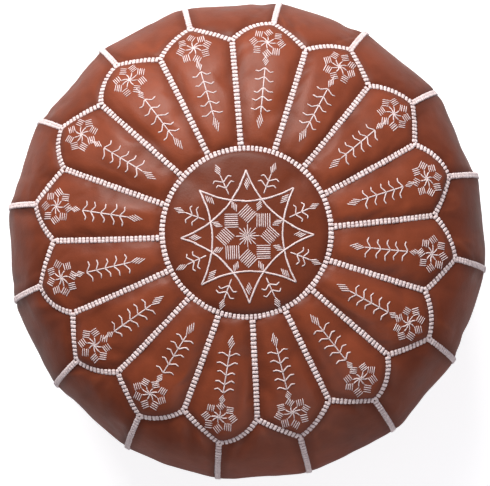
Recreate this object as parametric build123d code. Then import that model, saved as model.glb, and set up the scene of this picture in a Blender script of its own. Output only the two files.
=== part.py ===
"""A Moroccan leather pouf: a round floor seat sewn from leather panels, stuffed, and closed by a zip underneath.

Millimetres, +Z up, origin on the floor under the pouf's centre.
The outer skin is one body of revolution, cut into panels where the seams run. Everything that follows the skin
(leather, lining, filling, seam ridges, embroidery) is a layer between two offsets of the same profile.
Seen from above, the petal seams lie at multiples of 22.5 degrees and the side seams half a step between them.
"""
from build123d import *
import math
import os

# ---- driving dimensions ----------------------------------------------------------------------------------
HEIGHT = 330.0            # floor to the crown of the top
BELLY_R = 265.0           # largest radius, at the belly
PETALS = 16               # petals on the top, and panels round the side
MEDALLION_R = 88.0        # seam round the centre disc
VALLEY_R = 202.0          # where two petals and one side panel meet
TIP_R = 226.0             # where one petal and two side panels meet
ARCH_SAGS = (1.2, 5.4)    # how far the two halves of a petal's end edge bow out of a straight line
BASE_SEAM_R = 115.0       # seam round the base disc
BASE_LIFT = 14.0          # the base disc hangs this far above the floor

CROWN_RADIUS = 946.0      # radius of the nearly flat centre disc
VALLEY_TILT = 61.0        # the skin's normal at VALLEY_R, in degrees above horizontal
FLANK_TILT = -15.0        # the same where the flank turns into the bottom corner
CORNER_RADIUS = 66.0      # bottom corner, pressed tighter by the weight
CURL_RADIUS = 50.0        # inner edge of the standing ring, up to the base seam

LEATHER = 1.8             # leather thickness
LINING = 1.0              # cotton lining thickness
FILL_GAP = 0.2            # left between lining and filling
RIDGE = 2.2               # how far a thread-wrapped seam ridge stands out
SEAM_W = 6.4              # width of a seam ridge
ARCH_STEP = 3.9           # half a seam's width, measured along the radius on the petals' slanted end edges
STAND_R = 205.0           # the side seams' ridges end here, where the pouf starts to stand on the floor
UNDER_SEAM_END = 132.0    # and begin again from here to the base seam
THREAD = 0.8              # height of embroidery thread on the leather
THREAD_W = 1.5            # width of a line of embroidery
UPPER_FROM = 205.0        # above this height lie the petals and the upper edge of every side panel

STEP = 360.0 / PETALS
HALF = STEP / 2
FAR = 400.0               # beyond the pouf in any direction

# embroidery, as radii from the pouf's centre
FLOWER_R = 199.5          # middle of a petal's rosette
FLOWER_HALVES = (12.3, 14.6)      # rosette's middle to its squares' middles, along and across the petal
FLOWER_SQUARE = 7.8
PETAL_LINK = (185.6, 173.6)       # lozenge between the rosette and the fern
PETAL_NODE, PETAL_NODE_STEP, PETAL_NODES = 172.4, 10.0, 5
PETAL_TIP = (125.8, 108.0)        # lozenge at the fern's tip
STAR_R, STAR_WAIST = 69.5, 36.4   # points and side middles of the medallion's two crossed squares
CENTRE_SQUARE = (12.3, 33.5)      # the squares round the middle, corner to corner
STAR_LOZENGE = (47.5, 61.5)
GAP_LOZENGE = (27.4, 40.6)
MEDALLION_NODES = (54.6, 61.3)
MEDALLION_TIP = (68.6, 81.0)
LOZENGE_W = 7.0
ARM_LEAN = 55.0           # between a fern's stem and its arms, in degrees
HOOK = (0.9, 3.4)         # a hook at an arm's end, back along the stem and away from it

# zip, along X across the base disc
ZIP_GAP = 7.0             # from the zip's centre line to the leather's edge
TAPE = 0.8                # tape thickness
TAPE_IN = 1.1             # tape's inner edge from the centre line
TAPE_OUT = 16.0           # tape's outer edge
TAPE_END = 111.0          # half the tape's length
PITCH = 3.0               # tooth pitch along one tape
TOOTH_W = 1.15
TOOTH_H = 2.6
TOOTH_REACH = (-0.75, 2.6)        # from past the centre line to its outer end on the tape
TOOTH_SLIT = 0.4          # the slit for the tape runs out this far beyond the tooth
CHAIN_START = -90.0       # first tooth, at the open end
TEETH = 60                # teeth on each tape
SLIDER_X = 90.0           # slider's middle when the zip is closed
PIN_X = 88.0              # hinge pin of the pull tab
PIN_Z = 10.8
PIN_R = 0.8
TAB_L = 24.0
TAB_W = 7.0
TAB_T = 1.4
TAB_DROP = 25.0           # the tab hangs until its end is just above the floor
EYE_R = 1.9               # the tab's eye and the slider's lugs, round the pin
EYE_CLEARANCE = 0.08
EYE_L = 3.4
LUG_T = 1.2
LUG_Y = 2.6               # middle of a lug from the centre line
STOP_H = 2.4
TOP_STOP_X = (98.0, 101.0)
BOTTOM_STOP_X = (-97.0, -94.0)
STOP_OUT = 3.2            # a stop's outer end from the centre line
SLOT_GAP = 0.2            # room between the zip and the stuffing beside it
SLOT_ROOM = 4.6           # room over the tape for the slider's upper plate
STITCH_Y = 10.5           # the line that sews tape and leather together
STITCH_W, STITCH_H = 1.0, 0.5
ZIP_Z = BASE_LIFT + LEATHER + TAPE / 2    # middle plane of the tape


# ---- the profile -----------------------------------------------------------------------------------------
def arc_end(centre, radius, angle):
    """The point of an arc at an angle in degrees, measured from the +R direction."""
    a = math.radians(angle)
    return centre[0] + radius * math.cos(a), centre[1] + radius * math.sin(a)


def next_arc(point, angle, radius):
    """Centre of the arc that goes on smoothly from a point whose outward normal is at an angle."""
    a = math.radians(angle)
    return point[0] - radius * math.cos(a), point[1] - radius * math.sin(a)


def profile_arcs():
    """The skin from the crown to the floor: (centre, radius, first normal angle, last normal angle)."""
    crown = (0.0, HEIGHT - CROWN_RADIUS)
    ring_tilt = math.degrees(math.acos(MEDALLION_R / CROWN_RADIUS))
    arcs = [(crown, CROWN_RADIUS, 90.0, ring_tilt)]
    cos_ring, cos_valley = MEDALLION_R / CROWN_RADIUS, math.cos(math.radians(VALLEY_TILT))
    slope_radius = (VALLEY_R - MEDALLION_R) / (cos_valley - cos_ring)
    centre = next_arc(arc_end(crown, CROWN_RADIUS, ring_tilt), ring_tilt, slope_radius)
    arcs.append((centre, slope_radius, ring_tilt, VALLEY_TILT))
    shoulder_radius = (BELLY_R - VALLEY_R) / (1 - cos_valley)
    centre = next_arc(arc_end(centre, slope_radius, VALLEY_TILT), VALLEY_TILT, shoulder_radius)
    arcs.append((centre, shoulder_radius, VALLEY_TILT, 0.0))
    sine = math.sin(math.radians(-FLANK_TILT))
    flank_radius = (centre[1] - CORNER_RADIUS * (1 - sine)) / sine
    centre = (BELLY_R - flank_radius, centre[1])
    arcs.append((centre, flank_radius, 0.0, FLANK_TILT))
    centre = next_arc(arc_end(centre, flank_radius, FLANK_TILT), FLANK_TILT, CORNER_RADIUS)
    arcs.append((centre, CORNER_RADIUS, FLANK_TILT, -90.0))
    return arcs


def curl_centre():
    """Centre of the arc between the standing ring and the base seam."""
    rise = CURL_RADIUS - BASE_LIFT
    return BASE_SEAM_R + math.sqrt(CURL_RADIUS**2 - rise**2), CURL_RADIUS


def body(offset):
    """The solid inside the skin moved outwards by offset."""
    edges, last = [], None
    for centre, radius, first, final in profile_arcs():
        ends = [arc_end(centre, radius + offset, a) for a in (first, (first + final) / 2, final)]
        if last is None:
            top = ends[0]
        edges.append(ThreePointArc(*[(r, 0, z) for r, z in ends]))
        last = ends[-1]
    centre = curl_centre()
    radius = CURL_RADIUS + offset
    under = BASE_LIFT - offset
    inner_angle = -180.0 - math.degrees(math.asin((under - centre[1]) / radius))
    ring = arc_end(centre, radius, -90.0)
    middle = arc_end(centre, radius, (inner_angle - 90.0) / 2)
    seam = arc_end(centre, radius, inner_angle)
    edges.append(Line((last[0], 0, last[1]), (ring[0], 0, ring[1])))
    edges.append(ThreePointArc((ring[0], 0, ring[1]), (middle[0], 0, middle[1]), (seam[0], 0, seam[1])))
    edges.append(Line((seam[0], 0, seam[1]), (0, 0, under)))
    edges.append(Line((0, 0, under), (0, 0, top[1])))
    return revolve(make_face(edges), Axis.Z, 360)


def layer(inner, outer):
    """The skin between two offsets of the profile."""
    return body(outer) - body(inner)


# ---- plan outlines ---------------------------------------------------------------------------------------
def polar(radius, degrees):
    a = math.radians(degrees)
    return radius * math.cos(a), radius * math.sin(a)


def star(step_out=0.0):
    """The outline of all petals together, with valleys at multiples of the step."""
    edges = []
    for k in range(PETALS):
        valley, tip = k * STEP, k * STEP + HALF
        for a, b, sag in ((valley, tip, ARCH_SAGS[0]), (tip, valley + STEP, ARCH_SAGS[1])):
            ra = (VALLEY_R if a == valley else TIP_R) + step_out
            rb = (TIP_R if b == tip else VALLEY_R) + step_out
            p, q = Vector(*polar(ra, a)), Vector(*polar(rb, b))
            out = Vector((q - p).Y, -(q - p).X).normalized()
            edges.append(ThreePointArc(p, (p + q) / 2 + out * sag, q))
    return make_face(edges)


def upper(face):
    """A plan outline as a prism that meets only the top of the pouf."""
    return Pos(0, 0, UPPER_FROM) * extrude(face, FAR)


def wedge(middle):
    """One panel's share of the circle, about an angle."""
    outline = make_face(Polyline((0, 0), polar(FAR, middle - HALF), polar(FAR, middle + HALF), close=True))
    return Pos(0, 0, -FAR / 2) * extrude(outline, 2 * FAR)


def ring(radius, width, low, high):
    """A round band as a prism."""
    band = Circle(radius + width / 2) - Circle(radius - width / 2)
    return Pos(0, 0, low) * extrude(band, high - low)


def block(x, y, z):
    """A box between two limits on each axis."""
    size = [b - a for a, b in (x, y, z)]
    return Pos(*[(a + b) / 2 for a, b in (x, y, z)]) * Box(*size)


def around(shape, first=0.0, count=PETALS):
    """A shape repeated round the axis, each copy turned by one step more."""
    return [Rot(0, 0, first + 360.0 / count * k) * shape for k in range(count)]


# ---- leather panels, lining and filling ------------------------------------------------------------------
def leather_panels():
    skin = layer(-LEATHER, 0)
    petals_field = star()
    disc = Circle(MEDALLION_R)
    nodes = {"medallion_panel": skin & upper(disc)}
    petal = skin & upper(petals_field - disc) & wedge(HALF)
    above_base = BASE_LIFT + LEATHER + 1
    base = Pos(0, 0, -FAR) * extrude(Circle(BASE_SEAM_R), FAR + above_base)
    side = (skin & wedge(0)) - upper(petals_field) - base
    for k, piece in enumerate(around(petal)):
        nodes[f"petal_panel_{k + 1:02d}"] = piece
    for k, piece in enumerate(around(side)):
        nodes[f"side_panel_{k + 1:02d}"] = piece
    under = (0, above_base)
    base_skin = skin & base
    nodes["base_panel_left"] = base_skin & block((-FAR, FAR), (ZIP_GAP, FAR), under)
    nodes["base_panel_right"] = base_skin & block((-FAR, FAR), (-FAR, -ZIP_GAP), under)
    return nodes


def stuffing():
    slot = TAPE_OUT + SLOT_GAP
    channel = block((-BASE_SEAM_R, BASE_SEAM_R), (-slot, slot), (0, ZIP_Z + SLOT_ROOM))
    return {
        "lining": layer(-LEATHER - LINING, -LEATHER) - channel,
        "filling": body(-LEATHER - LINING - FILL_GAP) - channel,
    }


# ---- thread-wrapped seams --------------------------------------------------------------------------------
def seams():
    ridge = layer(0, RIDGE)
    half = SEAM_W / 2
    inside, outside = star(-ARCH_STEP), star(ARCH_STEP)
    crown_ring = ridge & ring(MEDALLION_R, SEAM_W, HEIGHT / 2, FAR)
    strip = block((MEDALLION_R + half, FAR), (-half, half), (HEIGHT / 2, FAR))
    petal_seam = ridge & strip & upper(inside)
    arch = (ridge & upper(outside - inside)) & wedge(HALF)
    slab = block((0, FAR), (-half, half), (-FAR, FAR))
    tip_up = Rot(0, 0, -HALF) * upper(outside)
    side_seam = (ridge & slab) - tip_up - block((0, STAND_R), (-FAR, FAR), (-FAR, FAR))
    over_base = BASE_LIFT + 2
    under_seam = ridge & block((BASE_SEAM_R + half, UNDER_SEAM_END), (-half, half), (0, over_base))
    base_ring = ridge & ring(BASE_SEAM_R, SEAM_W, 0, over_base)
    return {
        "medallion_seam": crown_ring,
        "petal_seams": Compound(around(petal_seam)),
        "arch_seams": Compound(around(arch)),
        "side_seams": Compound(around(side_seam, HALF) + around(under_seam, HALF)),
        "base_seam": base_ring,
    }


# ---- embroidery ------------------------------------------------------------------------------------------
def bar(start, end, width=THREAD_W):
    """A straight run of thread in plan."""
    (x0, y0), (x1, y1) = start, end
    length, angle = math.hypot(x1 - x0, y1 - y0), math.degrees(math.atan2(y1 - y0, x1 - x0))
    return Pos((x0 + x1) / 2, (y0 + y1) / 2) * Rot(0, 0, angle) * Rectangle(length + width, width)


def rhombus(near, far, width=LOZENGE_W):
    """A lozenge of satin stitch along X."""
    middle = (near + far) / 2
    points = (near, 0), (middle, width / 2), (far, 0), (middle, -width / 2)
    return make_face(Polyline(*points, close=True))


def fern(nodes, arm, tip):
    """A stem along X with a pair of hooked arms at each node, arms leaning towards the tip."""
    lean = math.copysign(1.0, tip - nodes[0])
    shape = bar((nodes[0], 0), (tip, 0))
    ahead, aside = polar(arm, ARM_LEAN)
    for x in nodes:
        for side in (1, -1):
            elbow = (x + lean * ahead, side * aside)
            hook = (elbow[0] - lean * HOOK[0], elbow[1] + side * HOOK[1])
            shape += bar((x, 0), elbow) + bar(elbow, hook)
    return shape


def petal_motif():
    """An eight-part rosette with a fern pointing to the pouf's centre, along +X."""
    nodes = [PETAL_NODE - PETAL_NODE_STEP * k for k in range(PETAL_NODES)]
    shape = rhombus(*PETAL_TIP) + rhombus(*PETAL_LINK) + fern(nodes, 7.9, PETAL_TIP[0] - 1)
    along, across = FLOWER_HALVES
    for k in range(8):
        x, y = along * math.cos(math.radians(45 * k)), across * math.sin(math.radians(45 * k))
        square = Pos(FLOWER_R + x, y) * Rot(0, 0, 45 * k + 45) * Rectangle(FLOWER_SQUARE, FLOWER_SQUARE)
        shape += square + bar((FLOWER_R, 0), (FLOWER_R + 0.6 * x, 0.6 * y))
    return shape


def star_side(turn):
    """One bowed side of the medallion's crossed squares, as a band of stitches."""
    middle = turn + 45
    bow = ThreePointArc(polar(STAR_R, turn), polar(STAR_WAIST, middle), polar(STAR_R, turn + 90))
    outer, inner = [bow.moved(Location(Vector(*polar(shift, middle)))) for shift in (0.8, -0.8)]
    caps = [Line(outer @ 0, inner @ 0), Line(outer @ 1, inner @ 1)]
    return make_face([outer, inner, *caps])


def medallion_motif():
    """Two crossed squares with bowed-in sides, lozenges between them and eight ferns round about."""
    shape = Circle(3.0)
    near, far = CENTRE_SQUARE
    spoke = rhombus(near, far, 17.0) + rhombus(*STAR_LOZENGE) + bar((0, 0), (near + 0.2, 0))
    sprig = rhombus(*GAP_LOZENGE, 5.6) + rhombus(*MEDALLION_TIP)
    sprig += fern(MEDALLION_NODES, 8.0, MEDALLION_TIP[0] + 0.4) + bar((50.0, 0), (MEDALLION_NODES[0], 0))
    for k in range(8):
        shape += star_side(45 * k)
        shape += Rot(0, 0, 45 * k) * spoke + Rot(0, 0, 45 * k + 22.5) * sprig
    return shape


def embroidery():
    sheet = layer(0, THREAD)
    motif = sheet & upper(petal_motif())
    return {
        "medallion_embroidery": sheet & upper(medallion_motif()),
        "petal_embroidery": Compound(around(motif, HALF)),
    }


# ---- the zip ---------------------------------------------------------------------------------------------
def tape_slit(x, side, far):
    """The space that a tape takes up inside a tooth or a stop."""
    return block(x, sorted((side * TAPE_IN, side * far)), (ZIP_Z - TAPE / 2, ZIP_Z + TAPE / 2))


def tooth(x, side):
    """One tooth, clamped round the tape's edge and reaching over the centre line."""
    near, far = TOOTH_REACH
    height = (ZIP_Z - TOOTH_H / 2, ZIP_Z + TOOTH_H / 2)
    solid = block((x - TOOTH_W / 2, x + TOOTH_W / 2), sorted((side * near, side * far)), height)
    return solid - tape_slit((x - TOOTH_W, x + TOOTH_W), side, far + TOOTH_SLIT)


def tape(side):
    y = sorted((side * TAPE_IN, side * TAPE_OUT))
    strip = block((-TAPE_END, TAPE_END), y, (ZIP_Z - TAPE / 2, ZIP_Z + TAPE / 2))
    return strip & Cylinder(BASE_SEAM_R - 1, 2 * FAR)


def stops():
    """Two small clips at the closed end and one wide clip over both tapes at the open end."""
    tall = (ZIP_Z - STOP_H / 2, ZIP_Z + STOP_H / 2)
    clips = []
    wide = block(BOTTOM_STOP_X, (-STOP_OUT, STOP_OUT), tall)
    for side in (1, -1):
        clip = block(TOP_STOP_X, sorted((side * 0.4, side * (STOP_OUT - 0.2))), tall)
        clips.append(clip - tape_slit((TOP_STOP_X[0] - 1, TOP_STOP_X[1] + 1), side, STOP_OUT + 1))
        wide -= tape_slit((BOTTOM_STOP_X[0] - 1, BOTTOM_STOP_X[1] + 1), side, STOP_OUT + 1)
    return Compound(clips), wide


def slider_outline():
    """The slider's plates from above: wide and blunt at the front, where it spreads the teeth."""
    back, front, narrow, waist, broad = SLIDER_X - 6, SLIDER_X + 6, 4.4, 4.6, 5.6
    half = [(back, narrow), (SLIDER_X, waist), (front - 1.5, broad), (front, 4.0)]
    return make_face(Polyline(*[(x, -y) for x, y in half], *reversed(half), close=True))


def slider():
    """Two plates joined by a post at the front, rims that leave a slot for each tape, and two lugs for the pin."""
    outline = slider_outline()
    back, front = SLIDER_X - 6, SLIDER_X + 6
    plate, rim, inside = 1.2, 0.8, 3.3
    low, high = ZIP_Z - TOOTH_H / 2 - 0.3, ZIP_Z + TOOTH_H / 2 + 0.3
    shape = Pos(0, 0, low - plate) * extrude(outline, plate) + Pos(0, 0, high) * extrude(outline, plate)
    for rim_low in (low, high - rim):
        wall = Pos(0, 0, rim_low) * extrude(outline, rim)
        shape += wall - block((back - 1, front + 1), (-inside, inside), (rim_low - 1, rim_low + rim + 1))
    shape += block((front - 4.6, front - 2.4), (-1.0, 1.0), (low, high))
    for side in (LUG_Y, -LUG_Y):
        pin_line = Pos(PIN_X, side, PIN_Z) * Rot(90, 0, 0)
        lug = block((PIN_X - EYE_R, PIN_X + EYE_R), (side - LUG_T / 2, side + LUG_T / 2), (PIN_Z, low - plate))
        shape += lug + pin_line * Cylinder(EYE_R, LUG_T) - pin_line * Cylinder(PIN_R, 2 * LUG_T)
    return shape


def pull_tab():
    """A flat tongue with an eye for the pin and a punched grip hole, hanging towards the floor."""
    across = Rot(90, 0, 0)
    eye = across * Cylinder(EYE_R, EYE_L)
    neck = block((-4.0, 0), (-EYE_L / 2, EYE_L / 2), (-TAB_T / 2, TAB_T / 2))
    blade = Pos(-(TAB_L + EYE_L) / 2, 0, 0) * Box(TAB_L - EYE_L, TAB_W, TAB_T)
    blade = fillet(blade.edges().filter_by(Axis.Z), 2.4)
    grip = Pos(-TAB_L + 5.6, 0, 0) * Cylinder(1.5, 2 * TAB_T)
    shape = eye + neck + blade - grip - across * Cylinder(PIN_R + EYE_CLEARANCE, 2 * EYE_L)
    return Pos(PIN_X, 0, PIN_Z) * Rot(0, -TAB_DROP, 0) * shape


def zip_stitching():
    """A row of stitching on each side that holds tape and leather together."""
    x, z = (-TAPE_END + 8, TAPE_END - 8), (BASE_LIFT - STITCH_H, BASE_LIFT)
    return Compound([block(x, (y - STITCH_W / 2, y + STITCH_W / 2), z) for y in (STITCH_Y, -STITCH_Y)])


def zipper():
    left = [tooth(CHAIN_START + PITCH * k, 1) for k in range(TEETH)]
    right = [tooth(CHAIN_START + PITCH * (k + 0.5), -1) for k in range(TEETH - 1)]
    top_stops, bottom_stop = stops()
    pin = Pos(PIN_X, 0, PIN_Z) * Rot(90, 0, 0) * Cylinder(PIN_R, 2 * LUG_Y + LUG_T)
    return {
        "zipper_tape_left": tape(1),
        "zipper_tape_right": tape(-1),
        "zipper_teeth_left": Compound(left),
        "zipper_teeth_right": Compound(right),
        "zipper_top_stops": top_stops,
        "zipper_bottom_stop": bottom_stop,
        "zipper_slider": slider(),
        "zipper_pull_pin": pin,
        "zipper_pull_tab": pull_tab(),
        "zipper_stitching": zip_stitching(),
    }


def main():
    os.makedirs("parts", exist_ok=True)
    nodes = {**leather_panels(), **stuffing(), **seams(), **embroidery(), **zipper()}
    for name, shape in nodes.items():
        export_step(shape, f"parts/{name}.step")


main()
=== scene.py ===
"""The look of the Moroccan leather pouf: leather panels, hand stitching, embroidery and the zip underneath.

Metres and radians, +Z up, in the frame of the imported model. The cover is described by one meridian that is
turned round Z. A place on it is an angle theta, an arc length s from the crown, and a lift off the surface
along its normal. Petal seams lie at multiples of STEP and side seams half a step between them.
"""
import math
import random
from collections import namedtuple

import bpy
import numpy as np
from mathutils import Matrix, Vector
from mathutils.bvhtree import BVHTree


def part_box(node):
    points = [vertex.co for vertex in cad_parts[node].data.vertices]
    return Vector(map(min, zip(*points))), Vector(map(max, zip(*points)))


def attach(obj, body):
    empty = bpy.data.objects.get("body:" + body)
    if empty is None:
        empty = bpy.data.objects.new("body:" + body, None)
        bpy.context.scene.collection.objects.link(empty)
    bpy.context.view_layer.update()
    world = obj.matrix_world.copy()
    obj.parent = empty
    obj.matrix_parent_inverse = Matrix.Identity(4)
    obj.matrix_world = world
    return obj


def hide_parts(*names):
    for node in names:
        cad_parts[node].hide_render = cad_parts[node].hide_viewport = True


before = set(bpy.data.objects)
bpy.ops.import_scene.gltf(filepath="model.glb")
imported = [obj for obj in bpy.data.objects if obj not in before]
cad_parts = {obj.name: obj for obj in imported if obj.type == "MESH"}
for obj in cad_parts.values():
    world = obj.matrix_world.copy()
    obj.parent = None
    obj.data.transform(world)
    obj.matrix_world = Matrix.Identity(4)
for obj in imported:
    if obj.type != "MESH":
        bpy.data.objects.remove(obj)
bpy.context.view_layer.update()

MM = 0.001

# ---- sizes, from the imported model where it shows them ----
PETALS = 16
STEP = 2 * math.pi / PETALS
HALF = STEP / 2
BELLY_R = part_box("side_panel_01")[1].x
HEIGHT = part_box("medallion_panel")[1].z
RING_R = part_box("medallion_panel")[1].x
BASE_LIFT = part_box("base_panel_left")[0].z
VALLEY_R, TIP_R = 202 * MM, 226 * MM    # radii of the petals' valleys and tips
ARCH_SAGS = (1.2 * MM, 5.4 * MM)        # how far the two halves of a petal's end edge bow out
BASE_R = 115 * MM                       # radius of the base seam
CROWN_RADIUS, CORNER_RADIUS, CURL_RADIUS = 946 * MM, 66 * MM, 50 * MM
VALLEY_TILT, FLANK_TILT = math.radians(61), math.radians(-15)
ZIP_GAP = 7 * MM                        # from the zip's middle to each half of the base

LEATHER = 1.8 * MM
SEAM_SINK = 2.4 * MM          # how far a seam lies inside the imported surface
FOOT_SINK = 1.2 * MM          # how much more a side seam is drawn in under the pouf
PETAL_RISE = 5.6 * MM         # how far a petal's leather swells above its seams
MEDALLION_RISE = 5.2 * MM     # the same for the medallion
SHOULDER_RISE = 2.0 * MM      # the same for a side panel, above and below its flat belly
FLATTEN = 4.2 * MM            # how much a side panel's middle lies inside the round
BASE_SAG = 1.2 * MM           # how far the middle of each half of the base hangs down
SWELL = 7 * MM                # distance from a seam over which the leather comes up
MOST_SWELL = 5 * MM           # the furthest that the simulated swelling may move a point
HELD_BELOW = 9 * MM           # the leather on and near the floor doesn't swell
TOP_DRIFT = (-2.6 * MM, 7.0 * MM)        # how far the ring of petals is sewn off centre
MEDALLION_DRIFT = (0.3 * MM, -3.0 * MM)  # the same for the motif in the middle
MEDALLION_TURN = math.radians(-2.3)      # how far that motif is turned
WANDER = math.radians(0.35)   # how far a seam strays from its angle
HIDE_TONES = {"medallion": -1.2, "petal": 0.9, "side": -0.3, "base": -1.0}  # how light each kind of panel is

RUNG = 4.4 * MM               # stitch pitch along a seam
BLOCK = (1.80 * MM, 1.86 * MM, 1.4 * MM)  # half length, half width and height of one stitch
BLOCK_SEAT = 0.95 * MM        # from a seam's line up to the middle of its stitches
ROW_OFFSET = 1.36 * MM        # from a seam's middle to the middle of each row of stitches
WELT = (3.5 * MM, 1.3 * MM)   # half width and height of the folded edge under the stitches
WELT_TOP, WELT_FOOT = -0.5 * MM, -1.6 * MM  # where the welt's hump and its underside lie
FINE, PLAIN, HEAVY = 0.52 * MM, 0.66 * MM, 0.88 * MM  # half widths of the embroidery threads
THREAD_HEIGHT = 0.9           # of a thread's half width
THREAD_SEAT, THREAD_DIP = 0.30 * MM, 0.12 * MM  # how high a thread lies, and how deep its ends go in
FLOOR_CLEAR = 0.25 * MM       # the lowest that a seam comes to the floor
INSIDE_CLEAR = 1.5 * MM       # the same for the lining and the stuffing
LINING_DEPTH, STUFFING_DEPTH = 12 * MM, 13.2 * MM  # below the cover
LINING_THICKNESS = 0.6 * MM

# Kinds of soft crease: how many a panel has, the ranges of where they start across and along the panel, and
# the ranges of their length, lean (sideways per length), half width and depth.
Creases = namedtuple("Creases", "count across along length lean width depth")
PETAL_CREASES = Creases(
    5, (-0.028, 0.028), (-0.01, 0.07), (0.03, 0.09), (-0.12, 0.12), (0.0026, 0.0055), (0.00035, 0.001))
PETAL_END_CREASES = Creases(
    3, (-0.03, 0.03), (0.08, 0.12), (0.02, 0.04), (-0.7, 0.7), (0.0022, 0.004), (0.0003, 0.0008))
SIDE_CREASES = Creases(
    4, (-0.045, 0.045), (0.0, 0.12), (0.06, 0.17), (-0.1, 0.1), (0.004, 0.009), (0.0003, 0.001))
GATHERS = Creases(
    5, (-0.03, 0.03), (-0.004, 0.004), (0.018, 0.05), (-0.75, 0.75), (0.0026, 0.005), (0.0007, 0.0017))
FOOT_CREASES = Creases(
    5, (-0.04, 0.04), (-0.075, -0.03), (0.04, 0.1), (-0.25, 0.25), (0.003, 0.006), (0.0005, 0.0014))
MEDALLION_CREASES = Creases(
    7, (-0.07, 0.07), (-0.09, 0.02), (0.04, 0.09), (-0.5, 0.5), (0.0035, 0.007), (0.0003, 0.0008))
BASE_CREASES = Creases(
    9, (-0.09, 0.09), (0.01, 0.07), (0.03, 0.07), (-0.6, 0.6), (0.003, 0.006), (0.0003, 0.0009))

# Every random draw is seeded, so each run makes the same pouf.
SEEDS = {"medallion": 11, "base": 21, "petal": 100, "side": 300, "hide": 700, "seam": 900}
MEDALLION_MOTIF_SEED, PETAL_MOTIF_SEED = 5, 50


# ---- the meridian ----
def meridian():
    """Points down the cover from the crown to the base seam: radius, height, normal and arc length."""
    rows = []

    def arc(centre, radius, first, last):
        count = max(3, int(abs(last - first) * radius / (0.5 * MM)))
        for a in np.linspace(first, last, count):
            c, s = math.cos(a), math.sin(a)
            rows.append((centre[0] + radius * c, centre[1] + radius * s, c, s))
        return rows[-1][0], rows[-1][1]

    def following(end, angle, radius):
        """The centre of an arc that goes on smoothly from an end point."""
        return end[0] - radius * math.cos(angle), end[1] - radius * math.sin(angle)

    cos_ring, cos_valley = RING_R / CROWN_RADIUS, math.cos(VALLEY_TILT)
    ring_tilt = math.acos(cos_ring)
    end = arc((0, HEIGHT - CROWN_RADIUS), CROWN_RADIUS, math.pi / 2, ring_tilt)
    slope = (VALLEY_R - RING_R) / (cos_valley - cos_ring)
    end = arc(following(end, ring_tilt, slope), slope, ring_tilt, VALLEY_TILT)
    shoulder = (BELLY_R - VALLEY_R) / (1 - cos_valley)
    centre = following(end, VALLEY_TILT, shoulder)
    arc(centre, shoulder, VALLEY_TILT, 0)
    sine = math.sin(-FLANK_TILT)
    flank = (centre[1] - CORNER_RADIUS * (1 - sine)) / sine
    end = arc((BELLY_R - flank, centre[1]), flank, 0, FLANK_TILT)
    arc(following(end, FLANK_TILT, CORNER_RADIUS), CORNER_RADIUS, FLANK_TILT, -math.pi / 2)
    rise = CURL_RADIUS - BASE_LIFT
    inner = BASE_R + math.sqrt(CURL_RADIUS**2 - rise**2)
    arc((inner, CURL_RADIUS), CURL_RADIUS, -math.pi / 2, -math.pi + math.asin(rise / CURL_RADIUS))
    table = np.array(rows)
    steps = np.hypot(np.diff(table[:, 0]), np.diff(table[:, 1]))
    length = np.concatenate([[0], np.cumsum(steps)])
    keep = np.concatenate([[True], steps > 1e-7])
    return table[keep].T, length[keep]


(SKIN_R, SKIN_Z, NORMAL_R, NORMAL_Z), SKIN_S = meridian()
TOP = int(np.argmax(SKIN_R))


def arc_at(radius):
    """Arc length at a radius on the upper half of the cover."""
    return np.interp(radius, SKIN_R[:TOP], SKIN_S[:TOP])


def along_skin(column, s):
    return np.interp(s, SKIN_S, column)


def skin(theta, s, lift=0.0):
    """Points on the cover, as an array of the same shape with x, y, z added."""
    radius = along_skin(SKIN_R, s) + along_skin(NORMAL_R, s) * lift
    z = along_skin(SKIN_Z, s) + along_skin(NORMAL_Z, s) * lift
    return np.stack([radius * np.cos(theta), radius * np.sin(theta), z + 0 * theta], axis=-1)


def skin_normal(theta, s):
    out = along_skin(NORMAL_R, s)
    return np.stack([out * np.cos(theta), out * np.sin(theta), along_skin(NORMAL_Z, s) + 0 * theta], axis=-1)


def edge_arc(theta):
    """Arc length where the petals end: from each valley to a tip and back, with one half bowed more."""
    turn = np.mod(theta, STEP)
    share = np.minimum(turn, STEP - turn) / HALF
    valley, tip = np.array([VALLEY_R, 0.0]), TIP_R * np.array([math.cos(HALF), math.sin(HALF)])
    run = tip - valley
    straight = VALLEY_R * run[1] / (run[1] * np.cos(share * HALF) - run[0] * np.sin(share * HALF))
    petal = np.floor(np.mod(theta, 2 * math.pi) / STEP + 1e-9)
    uneven = 1 + 0.3 * np.sin(petal * 2.4 + 1.0)
    sag = np.where(turn < HALF, ARCH_SAGS[0], ARCH_SAGS[1]) * uneven
    return arc_at(straight + sag * 4 * share * (1 - share))


def drift_share(s):
    """How much of the pattern's drift a place has: little at the crown, all of it where the petals end."""
    settled = np.clip((S_BELLY - s) / (S_BELLY - arc_at(VALLEY_R)), 0, 1)
    begun = np.clip(s / arc_at(VALLEY_R), 0, 1) ** 2
    return settled**1.5 * begun


def laid(theta, s):
    """Where the pattern really lies: the hand-sewn top is a little off centre and its seams wander."""
    share = drift_share(s)
    wander = WANDER * (np.sin(3 * theta + 0.7) + 0.6 * np.sin(7 * theta + 2.1))
    theta = theta + wander * np.clip(s / S_BELLY, 0, 1)
    radius = along_skin(SKIN_R, s)
    x = radius * np.cos(theta) + TOP_DRIFT[0] * share
    y = radius * np.sin(theta) + TOP_DRIFT[1] * share
    upper = s < S_BELLY
    return np.where(upper, np.arctan2(y, x), theta), np.where(upper, arc_at(np.hypot(x, y)), s)


# arc lengths of the medallion's seam, the widest place, the first touch of the floor and the base seam
S_RING = float(arc_at(RING_R))
S_BELLY = float(SKIN_S[TOP])
S_FLOOR = float(SKIN_S[np.argmax(SKIN_Z[TOP:] < 0.6 * MM) + TOP])
S_BASE = float(SKIN_S[-1])
PAST_END = S_BASE + 0.1


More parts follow.
